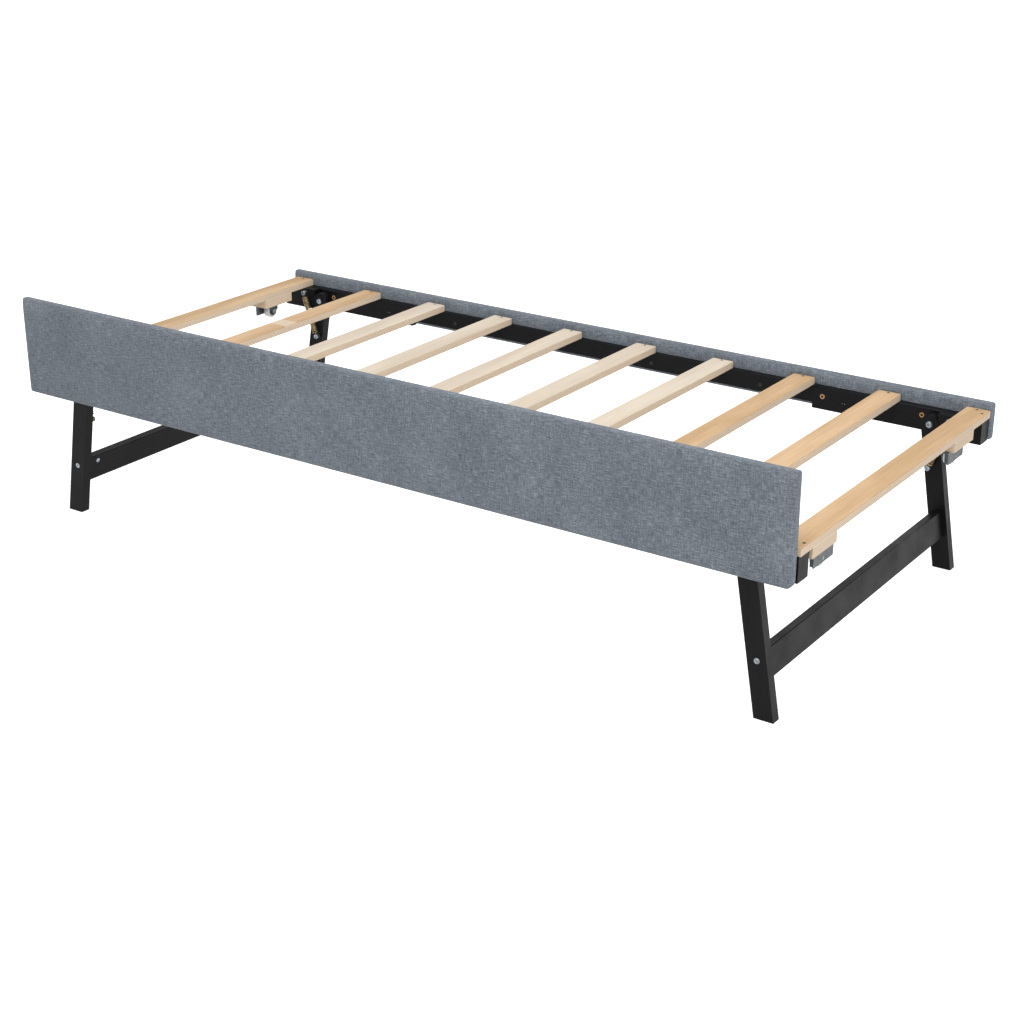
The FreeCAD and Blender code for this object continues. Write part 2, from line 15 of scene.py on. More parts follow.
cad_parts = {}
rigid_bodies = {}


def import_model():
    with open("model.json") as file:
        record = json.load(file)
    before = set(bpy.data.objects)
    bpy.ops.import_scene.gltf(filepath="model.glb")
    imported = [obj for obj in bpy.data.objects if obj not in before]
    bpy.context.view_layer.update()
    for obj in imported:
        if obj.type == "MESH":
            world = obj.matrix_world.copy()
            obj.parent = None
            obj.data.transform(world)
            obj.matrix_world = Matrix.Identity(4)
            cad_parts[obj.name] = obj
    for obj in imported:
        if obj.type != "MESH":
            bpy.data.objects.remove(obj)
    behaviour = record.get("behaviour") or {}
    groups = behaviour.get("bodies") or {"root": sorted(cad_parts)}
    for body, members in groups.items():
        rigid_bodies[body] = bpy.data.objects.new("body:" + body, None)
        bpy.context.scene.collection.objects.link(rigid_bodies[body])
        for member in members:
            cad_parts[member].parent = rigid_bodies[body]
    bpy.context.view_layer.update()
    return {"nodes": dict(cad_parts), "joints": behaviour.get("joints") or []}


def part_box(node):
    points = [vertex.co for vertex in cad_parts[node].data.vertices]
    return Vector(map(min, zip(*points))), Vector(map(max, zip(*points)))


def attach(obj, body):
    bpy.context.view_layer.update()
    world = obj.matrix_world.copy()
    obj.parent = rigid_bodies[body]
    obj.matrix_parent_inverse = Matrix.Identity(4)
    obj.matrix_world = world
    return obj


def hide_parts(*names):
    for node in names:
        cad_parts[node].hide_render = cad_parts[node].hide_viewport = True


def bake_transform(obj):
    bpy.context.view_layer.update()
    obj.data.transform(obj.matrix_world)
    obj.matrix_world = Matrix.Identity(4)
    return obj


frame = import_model()

log = logging.getLogger("trundle_bed")

Colour = tuple[float, float, float]
Value = Union[float, int, Sequence[float], bpy.types.NodeSocket]
MM = 0.001


class Side(Enum):
    """Long side of the bed, with the direction that its panel faces."""

    FRONT = -1
    BACK = 1

    @property
    def label(self) -> str:
        """Name used in node names."""
        return self.name.lower()


class End(Enum):
    """Short end of the bed, with its direction along X."""

    LEFT = -1
    RIGHT = 1

    @property
    def label(self) -> str:
        """Name used in node names."""
        return self.name.lower()


class Timber(Enum):
    """Veneer colours of the slats, dark and light tone of each."""

    GOLDEN = ((0.475, 0.305, 0.155), (0.62, 0.425, 0.246))
    PALE = ((0.585, 0.49, 0.385), (0.67, 0.58, 0.47))


def srgb(red: int, green: int, blue: int) -> Colour:
    """Linear colour of an 8-bit display colour."""

    def channel(value: int) -> float:
        """One channel."""
        share = value / 255
        return share / 12.92 if share <= 0.04045 else ((share + 0.055) / 1.055) ** 2.4

    return channel(red), channel(green), channel(blue)


def corner_names() -> list[tuple[Side, End, str]]:
    """The four corners of the bed and the ending of their nodes' names."""
    return [(side, end, f"{side.label}_{end.label}") for side in Side for end in End]


# ---------------------------------------------------------------------------
# Node trees
# ---------------------------------------------------------------------------


class Graph:
    """Short calls for filling a node tree."""

    def __init__(self, tree: bpy.types.NodeTree) -> None:
        """Wraps a tree.

        Args:
            tree: the shader or geometry tree to fill.
        """
        self.tree = tree

    def put(self, socket: bpy.types.NodeSocket, value: Value) -> None:
        """Sets a socket, or links it when the value is itself a socket."""
        if isinstance(value, bpy.types.NodeSocket):
            self.tree.links.new(value, socket)
            return
        if socket.type == "RGBA" and not isinstance(value, (int, float)) and len(value) == 3:
            value = (*value, 1.0)
        socket.default_value = value

    def add(self, kind: str, inputs: Optional[dict] = None, **settings: object) -> bpy.types.Node:
        """Adds a node.

        Args:
            kind: the node's type name.
            inputs: values or sockets by input name or index.
            **settings: the node's own properties.

        Returns:
            The new node.
        """
        node = self.tree.nodes.new(kind)
        for name, value in settings.items():
            setattr(node, name, value)
        for key, value in (inputs or {}).items():
            self.put(node.inputs[key], value)
        return node

    def math(self, operation: str, *values: Value, clamp: bool = False) -> bpy.types.NodeSocket:
        """Result of a Math node on one to three values."""
        node = self.add("ShaderNodeMath", operation=operation, use_clamp=clamp)
        for i, value in enumerate(values):
            self.put(node.inputs[i], value)
        return node.outputs[0]

    def mix(self, share: Value, first: Value, second: Value, blend: str = "MIX") -> bpy.types.NodeSocket:
        """Colour mix of two colours by share."""
        node = self.add("ShaderNodeMix", data_type="RGBA", blend_type=blend, clamp_factor=True)
        self.put(node.inputs[0], share)
        self.put(node.inputs[6], first)
        self.put(node.inputs[7], second)
        return node.outputs[2]

    def blend(self, share: Value, first: Value, second: Value) -> bpy.types.NodeSocket:
        """Number mix of two numbers by share."""
        node = self.add("ShaderNodeMix", data_type="FLOAT", clamp_factor=True)
        for i, value in zip((0, 2, 3), (share, first, second)):
            self.put(node.inputs[i], value)
        return node.outputs[0]

    def span(self, value: Value, low: float, high: float, to_low: float = 0.0,
             to_high: float = 1.0) -> bpy.types.NodeSocket:
        """Value carried from one range to another and clamped there."""
        node = self.add("ShaderNodeMapRange", {0: value, 1: low, 2: high, 3: to_low, 4: to_high})
        return node.outputs[0]

    def scaled(self, vector: Value, scale: Sequence[float], shift: Sequence[float] = (0, 0, 0)
               ) -> bpy.types.NodeSocket:
        """Vector times scale plus shift, per axis."""
        node = self.add("ShaderNodeVectorMath", {0: vector, 1: scale, 2: shift}, operation="MULTIPLY_ADD")
        return node.outputs[0]

    def noise(self, vector: Value, scale: float, detail: float = 2.0, rough: float = 0.5
              ) -> bpy.types.NodeSocket:
        """Noise value from 0 to 1."""
        node = self.add("ShaderNodeTexNoise",
                        {"Vector": vector, "Scale": scale, "Detail": detail, "Roughness": rough})
        return node.outputs[0]

    def split(self, vector: Value) -> tuple[bpy.types.NodeSocket, ...]:
        """The three parts of a vector."""
        return tuple(self.add("ShaderNodeSeparateXYZ", {0: vector}).outputs)


def new_group(name: str, inputs: Sequence[tuple[str, str, Value]], outputs: Sequence[tuple[str, str]]
              ) -> tuple[bpy.types.NodeTree, Graph, bpy.types.Node, bpy.types.Node]:
    """Starts a shader node group.

    Args:
        name: the group's name.
        inputs: name, kind and default of each input.
        outputs: name and kind of each output.

    Returns:
        The tree, its graph, and its input and output nodes.
    """
    tree = bpy.data.node_groups.new(name, "ShaderNodeTree")
    for label, kind, value in inputs:
        socket = tree.interface.new_socket(label, in_out="INPUT", socket_type=kind)
        if value is not None:
            socket.default_value = value
    for label, kind in outputs:
        tree.interface.new_socket(label, in_out="OUTPUT", socket_type=kind)
    graph = Graph(tree)
    return tree, graph, graph.add("NodeGroupInput"), graph.add("NodeGroupOutput")


class Groups:
    """Shader node groups that several finishes share, each built once."""

    def __init__(self) -> None:
        """Builds every group."""
        self.weave = self._weave()
        self.grain = self._grain()
        self.handled = self._handled()

    @staticmethod
    def _weave() -> bpy.types.NodeTree:
        """Heathered plain weave: thread tone, light flecks and height, from a cloth vector in metres."""
        tree, g, inn, out = new_group(
            "heathered_weave",
            [("Cloth", "NodeSocketVector", None), ("Threads per metre", "NodeSocketFloat", 900.0)],
            [("Tone", "NodeSocketFloat"), ("Fleck", "NodeSocketFloat"), ("Height", "NodeSocketFloat")])
        cloth, count = inn.outputs[0], inn.outputs[1]
        u, v, _ = g.split(cloth)
        turns = g.math("MULTIPLY", count, math.pi)
        warp = g.math("SINE", g.math("MULTIPLY", u, turns))
        weft = g.math("SINE", g.math("MULTIPLY", v, turns))
        warp_high = g.math("ABSOLUTE", warp)
        weft_high = g.math("ABSOLUTE", weft)
        parity = g.math("GREATER_THAN", g.math("MULTIPLY", warp, weft), 0.0)
        height = g.blend(parity, g.math("MULTIPLY", warp_high, 0.8), weft_high)
        slub_weft = g.noise(g.scaled(cloth, (55.0, 520.0, 1.0)), 1.0, 3.0, 0.62)
        slub_warp = g.noise(g.scaled(cloth, (520.0, 48.0, 1.0), (7.0, 3.0, 0.0)), 1.0, 3.0, 0.62)
        fine_weft = g.noise(g.scaled(cloth, (170.0, 1500.0, 1.0), (1.0, 9.0, 0.0)), 1.0, 2.0, 0.6)
        fine_warp = g.noise(g.scaled(cloth, (1500.0, 150.0, 1.0), (5.0, 2.0, 0.0)), 1.0, 2.0, 0.6)
        broad = g.noise(cloth, 9.0, 3.0, 0.55)
        weft_tone = g.math("ADD", g.math("MULTIPLY", slub_weft, 0.62), g.math("MULTIPLY", fine_weft, 0.38))
        warp_tone = g.math("ADD", g.math("MULTIPLY", slub_warp, 0.58), g.math("MULTIPLY", fine_warp, 0.42))
        tone = g.math("ADD", g.math("MULTIPLY", weft_tone, 0.54), g.math("MULTIPLY", warp_tone, 0.46))
        tone = g.math("ADD", tone, g.math("MULTIPLY", g.math("SUBTRACT", broad, 0.5), 0.10))
        fleck = g.span(g.math("MULTIPLY", slub_weft, fine_weft), 0.33, 0.46)
        dark_fleck = g.span(g.math("MULTIPLY", slub_warp, fine_warp), 0.35, 0.50)
        g.put(out.inputs["Tone"], g.span(tone, 0.39, 0.61))
        g.put(out.inputs["Fleck"], g.math("SUBTRACT", fleck, g.math("MULTIPLY", dark_fleck, 0.6)))
        g.put(out.inputs["Height"], g.math("ADD", g.math("MULTIPLY", height, 0.6),
                                           g.math("MULTIPLY", tone, 0.8)))
        return tree

    @staticmethod
    def _grain() -> bpy.types.NodeTree:
        """Timber figure along the vector's Y: broad figure, fine fibre and height."""
        tree, g, inn, out = new_group(
            "timber_grain",
            [("Vector", "NodeSocketVector", None), ("Seed", "NodeSocketFloat", 0.0)],
            [("Figure", "NodeSocketFloat"), ("Fibre", "NodeSocketFloat"), ("Height", "NodeSocketFloat")])
        vector, seed = inn.outputs[0], inn.outputs[1]
        shift = g.add("ShaderNodeCombineXYZ", {0: seed, 1: seed, 2: seed}).outputs[0]
        moved = g.add("ShaderNodeVectorMath", {0: vector, 1: shift}, operation="ADD").outputs[0]
        sway = g.noise(g.scaled(moved, (9.0, 2.6, 9.0)), 1.0, 2.0)
        x, y, z = g.split(moved)
        bands = g.math("ADD", g.math("MULTIPLY", x, 55.0), g.math("MULTIPLY", sway, 9.0))
        bands = g.math("ADD", bands, g.math("MULTIPLY", z, 30.0))
        figure = g.math("MULTIPLY_ADD", g.math("SINE", bands), 0.5, 0.5)
        broad = g.noise(g.scaled(moved, (22.0, 2.2, 22.0)), 1.0, 4.0, 0.6)
        fibre = g.noise(g.scaled(moved, (900.0, 16.0, 900.0)), 1.0, 3.0, 0.6)
        streak = g.noise(g.scaled(moved, (260.0, 5.0, 260.0)), 1.0, 3.0, 0.65)
        g.put(out.inputs["Figure"], g.math("ADD", g.math("MULTIPLY", figure, 0.35),
                                           g.math("MULTIPLY", broad, 0.65)))
        g.put(out.inputs["Fibre"], g.math("ADD", g.math("MULTIPLY", fibre, 0.5),
                                          g.math("MULTIPLY", streak, 0.5)))
        g.put(out.inputs["Height"], fibre)
        return tree

    @staticmethod
    def _handled() -> bpy.types.NodeTree:
        """Marks of handling and dust: a soft mask and a fine one, for roughness and tone."""
        tree, g, inn, out = new_group(
            "handled_surface",
            [("Vector", "NodeSocketVector", None), ("Scale", "NodeSocketFloat", 20.0)],
            [("Smudge", "NodeSocketFloat"), ("Speck", "NodeSocketFloat")])
        node = g.add("ShaderNodeTexNoise", {"Vector": inn.outputs[0], "Scale": inn.outputs[1],
                                            "Detail": 4.0, "Roughness": 0.6})
        g.put(out.inputs["Smudge"], g.span(node.outputs[0], 0.35, 0.7))
        fine = g.add("ShaderNodeTexNoise", {"Vector": inn.outputs[0],
                                            "Scale": g.math("MULTIPLY", inn.outputs[1], 30.0),
                                            "Detail": 2.0, "Roughness": 0.5})
        g.put(out.inputs["Speck"], g.span(fine.outputs[0], 0.55, 0.75))
        return tree


GROUPS = Groups()


# ---------------------------------------------------------------------------
# Finishes
# ---------------------------------------------------------------------------


@dataclass(frozen=True)
class Finish:
    """Base of every finish: makes one material and fills its tree."""

    name: str

    def build(self) -> bpy.types.Material:
        """Makes the material once and returns it after that.

        Returns:
            The finished material.
        """
        ready = bpy.data.materials.get(self.name)
        if ready is not None:
            return ready
        material = bpy.data.materials.new(self.name)
        material.use_nodes = True
        material.node_tree.nodes.clear()
        g = Graph(material.node_tree)
        shader = g.add("ShaderNodeBsdfPrincipled")
        out = g.add("ShaderNodeOutputMaterial")
        g.put(out.inputs["Surface"], shader.outputs[0])
        self.fill(g, shader)
        return material

    def fill(self, g: Graph, shader: bpy.types.Node) -> None:
        """Fills the tree that feeds the shader.

        Args:
            g: the material's graph.
            shader: its Principled shader.
        """
        raise NotImplementedError

    @staticmethod
    def place(g: Graph) -> bpy.types.NodeSocket:
        """Object coordinates in metres."""
        return g.add("ShaderNodeTexCoord").outputs["Object"]

    @staticmethod
    def facing(g: Graph) -> tuple[bpy.types.NodeSocket, ...]:
        """Parts of the surface normal, each made positive."""
        parts = g.split(g.add("ShaderNodeTexCoord").outputs["Normal"])
        return tuple(g.math("ABSOLUTE", part) for part in parts)

    @staticmethod
    def bump(g: Graph, shader: bpy.types.Node, height: Value, depth: float, strength: float = 1.0) -> None:
        """Feeds a height in metres times depth to the shader's normal."""
        node = g.add("ShaderNodeBump", {"Height": height, "Distance": depth, "Strength": strength})
        g.put(shader.inputs["Normal"], node.outputs[0])

    @staticmethod
    def group(g: Graph, tree: bpy.types.NodeTree, inputs: dict) -> bpy.types.Node:
        """Places a shared node group."""
        node = g.add("ShaderNodeGroup", node_tree=tree)
        for key, value in inputs.items():
            g.put(node.inputs[key], value)
        return node


@dataclass(frozen=True)
class Linen(Finish):
    """Heathered blue-grey linen, seen along the cloth's own vector."""

    shade: Colour = srgb(72, 80, 89)
    body: Colour = srgb(108, 116, 125)
    light: Colour = srgb(152, 159, 165)
    fleck: Colour = srgb(196, 200, 201)
    threads: float = 900.0

    def fill(self, g: Graph, shader: bpy.types.Node) -> None:
        """Threads of three tones, pale flecks, woven height and a faint sheen."""
        cloth = g.add("ShaderNodeUVMap", uv_map="cloth").outputs[0]
        weave = self.group(g, GROUPS.weave, {"Cloth": cloth, "Threads per metre": self.threads})
        tone = weave.outputs["Tone"]
        low = g.mix(g.span(tone, 0.0, 0.5), self.shade, self.body)
        colour = g.mix(g.span(tone, 0.5, 1.0), low, self.light)
        colour = g.mix(g.math("MULTIPLY", weave.outputs["Fleck"], 0.45), colour, self.fleck)
        g.put(shader.inputs["Base Color"], colour)
        g.put(shader.inputs["Roughness"], g.span(tone, 0.0, 1.0, 0.95, 0.82))
        shader.inputs["Specular IOR Level"].default_value = 0.25
        shader.inputs["Sheen Weight"].default_value = 0.18
        shader.inputs["Sheen Roughness"].default_value = 0.5
        shader.inputs["Sheen Tint"].default_value = (0.82, 0.86, 0.92, 1.0)
        self.bump(g, shader, weave.outputs["Height"], 0.0006, 1.0)


@dataclass(frozen=True)
class BirchPly(Finish):
    """Birch plywood with its face grain along Y and its layers along Z."""

    timber: Timber = Timber.GOLDEN
    seed: float = 0.0
    base_z: float = 0.0
    layer: float = 1.5 * MM
    sawn_roughness: float = 0.78
    centre_x: float = 0.0
    patch: Optional[tuple[float, float]] = None

    def fill(self, g: Graph, shader: bpy.types.Node) -> None:
        """Veneer on the faces and alternating layers on the edges."""
        place = self.place(g)
        across, along, up = self.facing(g)
        moved = g.scaled(place, (1.0, 1.0, 1.0), (-self.centre_x, 0.0, 0.0))
        grain = self.group(g, GROUPS.grain, {"Vector": moved, "Seed": self.seed})
        dark, pale = self.timber.value
        veneer = g.mix(g.span(grain.outputs["Figure"], 0.3, 0.72), dark, pale)
        veneer = g.mix(g.span(grain.outputs["Fibre"], 0.42, 0.62, 0.0, 0.30), veneer,
                       tuple(c * 0.62 for c in dark))
        if self.patch is not None:
            veneer = self.finger_joint(g, place, veneer)
        layers = self.layers(g, place, grain)
        top = g.math("GREATER_THAN", up, 0.6)
        g.put(shader.inputs["Base Color"], g.mix(top, layers, veneer))
        planed = g.span(grain.outputs["Fibre"], 0.3, 0.7, 0.48, 0.62)
        g.put(shader.inputs["Roughness"], g.blend(top, self.sawn_roughness, planed))
        shader.inputs["Specular IOR Level"].default_value = 0.35
        self.bump(g, shader, grain.outputs["Height"], 0.00012)

    def layers(self, g: Graph, place: bpy.types.NodeSocket, grain: bpy.types.Node) -> bpy.types.NodeSocket:
        """Colour of the stacked veneers on a cut edge."""
        x, y, z = g.split(place)
        wander = g.noise(g.scaled(place, (6.0, 6.0, 6.0)), 1.0, 2.0)
        level = g.math("DIVIDE", g.math("SUBTRACT", z, self.base_z), self.layer)
        level = g.math("ADD", level, g.math("MULTIPLY", g.math("SUBTRACT", wander, 0.5), 0.5))
        odd = g.math("PINGPONG", level, 1.0)
        cut = g.noise(g.scaled(place, (600.0, 600.0, 2600.0)), 1.0, 2.0, 0.6)
        long_grain = g.mix(grain.outputs["Fibre"], srgb(224, 206, 184), srgb(236, 220, 198))
        end_grain = g.mix(cut, srgb(166, 140, 114), srgb(198, 174, 146))
        colour = g.mix(g.span(odd, 0.35, 0.65), long_grain, end_grain)
        glue = g.span(g.math("ABSOLUTE", g.math("SUBTRACT", odd, 0.5)), 0.10, 0.0)
        return g.mix(g.math("MULTIPLY", glue, 0.35), colour, srgb(140, 112, 90))

    def finger_joint(self, g: Graph, place: bpy.types.NodeSocket, veneer: bpy.types.NodeSocket
                     ) -> bpy.types.NodeSocket:
        """A paler length let into the veneer, with zigzag ends."""
        x, y, _ = g.split(place)
        zigzag = g.math("MULTIPLY", g.math("PINGPONG", x, 4 * MM), 2.0)
        shifted = g.math("ADD", y, zigzag)
        inside = g.math("MULTIPLY", g.math("GREATER_THAN", shifted, self.patch[0]),
                        g.math("LESS_THAN", shifted, self.patch[1]))
        return g.mix(g.math("MULTIPLY", inside, 0.6), veneer, Timber.PALE.value[1])


@dataclass(frozen=True)
class BlackTimber(Finish):
    """Softwood under a satin black lacquer that lets a little grain through."""

    colour: Colour = srgb(13, 13, 15)
    worn: Colour = srgb(30, 30, 33)
    long_axis: int = 0

    def fill(self, g: Graph, shader: bpy.types.Node) -> None:
        """Near-black coat, faint grain, and rub marks in its gloss."""
        place = self.place(g)
        turn = {0: (0, 0, math.pi / 2), 1: (0, 0, 0), 2: (math.pi / 2, 0, 0)}[self.long_axis]
        turned = g.add("ShaderNodeMapping", {"Vector": place, "Rotation": turn}).outputs[0]
        grain = self.group(g, GROUPS.grain, {"Vector": turned, "Seed": 3.0})
        marks = self.group(g, GROUPS.handled, {"Vector": place, "Scale": 14.0})
        colour = g.mix(g.span(grain.outputs["Fibre"], 0.4, 0.75, 0.0, 0.35), self.colour, self.worn)
        colour = g.mix(g.math("MULTIPLY", marks.outputs["Speck"], 0.05), colour, srgb(90, 90, 92))
        g.put(shader.inputs["Base Color"], colour)
        g.put(shader.inputs["Roughness"], g.span(marks.outputs["Smudge"], 0.0, 1.0, 0.34, 0.50))
        shader.inputs["Specular IOR Level"].default_value = 0.09
        self.bump(g, shader, grain.outputs["Height"], 0.00018)


@dataclass(frozen=True)
class PlatedSteel(Finish):
    """Plated or painted steel with a faint handled surface."""

    colour: Colour = srgb(160, 168, 174)
    tint: Colour = srgb(104, 110, 116)
    metal: float = 1.0
    rough: tuple[float, float] = (0.26, 0.45)

    def fill(self, g: Graph, shader: bpy.types.Node) -> None:
        """Two close tones and uneven gloss."""
        place = self.place(g)
        marks = self.group(g, GROUPS.handled, {"Vector": place, "Scale": 90.0})
        g.put(shader.inputs["Base Color"], g.mix(marks.outputs["Smudge"], self.colour, self.tint))
        g.put(shader.inputs["Roughness"], g.span(marks.outputs["Smudge"], 0.0, 1.0, *self.rough))
        shader.inputs["Metallic"].default_value = self.metal
        self.bump(g, shader, marks.outputs["Speck"], 0.00004)


@dataclass(frozen=True)
class Moulded(Finish):
    """Moulded plastic with a fine grained surface."""

    colour: Colour = srgb(225, 227, 226)
    scuff: Colour = srgb(190, 192, 190)
    rough: tuple[float, float] = (0.3, 0.5)
    cloudy: float = 0.0

    def fill(self, g: Graph, shader: bpy.types.Node) -> None:
        """Even colour with scuffs, and a milky depth where asked."""
        place = self.place(g)
        marks = self.group(g, GROUPS.handled, {"Vector": place, "Scale": 60.0})
        g.put(shader.inputs["Base Color"],
              g.mix(g.math("MULTIPLY", marks.outputs["Smudge"], 0.6), self.colour, self.scuff))
        g.put(shader.inputs["Roughness"], g.span(marks.outputs["Speck"], 0.0, 1.0, *self.rough))
        shader.inputs["Subsurface Weight"].default_value = self.cloudy
        shader.inputs["Subsurface Radius"].default_value = (0.006, 0.006, 0.006)
        self.bump(g, shader, marks.outputs["Speck"], 0.00005)


@dataclass(frozen=True)
class BareCut(Finish):
    """Raw wood laid open by a countersink or a saw."""

    colour: Colour = srgb(206, 160, 112)
    shade: Colour = srgb(150, 104, 66)

    def fill(self, g: Graph, shader: bpy.types.Node) -> None:
        """Short fibres of two tones."""
        place = self.place(g)
        fibre = g.noise(g.scaled(place, (260.0, 900.0, 900.0)), 1.0, 3.0, 0.6)
        g.put(shader.inputs["Base Color"], g.mix(fibre, self.shade, self.colour))
        shader.inputs["Roughness"].default_value = 0.8
        self.bump(g, shader, fibre, 0.0001)


LINEN = Linen("linen_blue_grey")
BLACK_X = BlackTimber("black_timber_along_x", long_axis=0)
BLACK_Y = BlackTimber("black_timber_along_y", long_axis=1)
BLACK_Z = BlackTimber("black_timber_along_z", long_axis=2)
ZINC = PlatedSteel("zinc_bolts")
TAN_ZINC = PlatedSteel("tan_zinc_springs", srgb(176, 156, 118), srgb(112, 96, 68), 0.9, (0.28, 0.5))
CASTER_STEEL = PlatedSteel("caster_steel", srgb(63, 70, 75), srgb(50, 56, 61), 0.2, (0.36, 0.5))
DARK_SCREW = PlatedSteel("black_oxide_screws", srgb(34, 27, 22), srgb(22, 18, 16), 0.2, (0.45, 0.6))
TYRE = Moulded("milky_tyre", cloudy=0.25)
DISC = Moulded("dark_disc", srgb(66, 70, 74), srgb(92, 96, 99), (0.35, 0.55))
BARE_WOOD = BareCut("bare_countersinks")
BOARD_PLY = BareCut("panel_board_ply", srgb(196, 160, 120), srgb(160, 124, 86))


def dress(obj: bpy.types.Object, finish: Finish) -> None:
    """Gives every slot of an object one finish."""
    material = finish.build()
    if not obj.data.materials:
        obj.data.materials.append(material)
    for i in range(len(obj.data.materials)):
        obj.data.materials[i] = material


def dress_nodes(names: Iterable[str], finish: Finish, soften: float = 0.0) -> None:
    """Gives CAD nodes a finish, and softens their edges with a bevel where asked.

    Args:
        names: the nodes.
        finish: their finish.
        soften: width of the softened edge in metres, or 0 for none.
    """
    for name in names:
        node = frame["nodes"][name]
        dress(node, finish)
        if soften > 0:
            soften_edges(node, soften)
        log.info("finished %s with %s", name, finish.name)


def soften_edges(obj: bpy.types.Object, width: float) -> None:
    """Adds a merged, bevelled edge to a CAD node's display without touching its mesh."""
    weld = obj.modifiers.new("joined_edges", "WELD")
    weld.merge_threshold = 0.00001
    bevel = obj.modifiers.new("soft_edges", "BEVEL")
    bevel.width = width
    bevel.segments = 2
    bevel.limit_method = "ANGLE"
    bevel.angle_limit = math.radians(40)
    bevel.harden_normals = True
    bevel.use_clamp_overlap = True


# ---------------------------------------------------------------------------
# Mesh helpers
# ---------------------------------------------------------------------------


def link_mesh(name: str, mesh: bpy.types.Mesh) -> bpy.types.Object:
    """Links a mesh as a new object at the origin."""
    obj = bpy.data.objects.new(name, mesh)
    bpy.context.scene.collection.objects.link(obj)
    return obj


def mesh_object(name: str, points: Sequence[Sequence[float]], faces: Sequence[Sequence[int]],
                smooth_below: Optional[float] = 35.0) -> bpy.types.Object:
    """Makes an object from points and faces.

    Args:
        name: the object's name.
        points: corner positions in metres.
        faces: corner indices of each face.
        smooth_below: edges flatter than this many degrees are shaded smooth; None leaves all flat.

    Returns:
        The new object, its faces pointing outwards.
    """
    mesh = bpy.data.meshes.new(name)
    mesh.from_pydata([tuple(p) for p in points], [], [tuple(f) for f in faces])
    work = bmesh.new()
    work.from_mesh(mesh)
    bmesh.ops.remove_doubles(work, verts=work.verts, dist=1e-7)
    bmesh.ops.recalc_face_normals(work, faces=work.faces)
    work.to_mesh(mesh)
    work.free()
    obj = link_mesh(name, mesh)
    if smooth_below is not None:
        shade(obj, smooth_below)
    return obj


def shade(obj: bpy.types.Object, degrees: float) -> None:
    """Smooth shading with sharp edges above an angle."""
    mesh = obj.data
    mesh.shade_smooth()
    work = bmesh.new()
    work.from_mesh(mesh)
    for edge in work.edges:
        sharp = len(edge.link_faces) == 2 and edge.calc_face_angle(0.0) > math.radians(degrees)
        edge.smooth = not sharp
    work.to_mesh(mesh)
    work.free()


def lathe(name: str, profile: Sequence[tuple[float, float]], centre: Vector, axis: Vector,
          steps: int = 64) -> bpy.types.Object:
    """Turns a profile about an axis.

    Args:
        name: the object's name.
        profile: distance along the axis and radius of each ring, in metres; the loop closes itself.
        centre: point on the axis that distances start from.
        axis: unit vector.
        steps: number of facets round the axis.

    Returns:
        A closed ring-shaped or solid object.
    """
    side = axis.orthogonal().normalized()
    other = axis.cross(side)
    points, faces = [], []
    for i in range(steps):
        angle = 2 * math.pi * i / steps
        out = side * math.cos(angle) + other * math.sin(angle)
        points += [centre + axis * along + out * radius for along, radius in profile]
    count = len(profile)
    for i in range(steps):
        for j in range(count):
            a, b = i * count, (i + 1) % steps * count
            k = (j + 1) % count
            faces.append((a + j, a + k, b + k, b + j))
    return mesh_object(name, points, faces)


def joined(name: str, parts: Sequence[bpy.types.Object]) -> bpy.types.Object:
    """Joins objects into one mesh, and removes the parts.

    Args:
        name: the joined object's name.
        parts: objects at the origin.

    Returns:
        The joined object.
    """
    work = bmesh.new()
    materials: list[bpy.types.Material] = []
    for part in parts:
        start = len(work.faces)
        work.from_mesh(part.data)
        work.faces.ensure_lookup_table()
        slots = []
        for material in part.data.materials:
            if material not in materials:
                materials.append(material)
            slots.append(materials.index(material))
        if slots:
            for face in work.faces[start:]:
                face.material_index = slots[min(face.material_index, len(slots) - 1)]
    mesh = bpy.data.meshes.new(name)
    work.to_mesh(mesh)
    work.free()
    for material in materials:
        mesh.materials.append(material)
    for part in parts:
        bpy.data.objects.remove(part)
    return link_mesh(name, mesh)


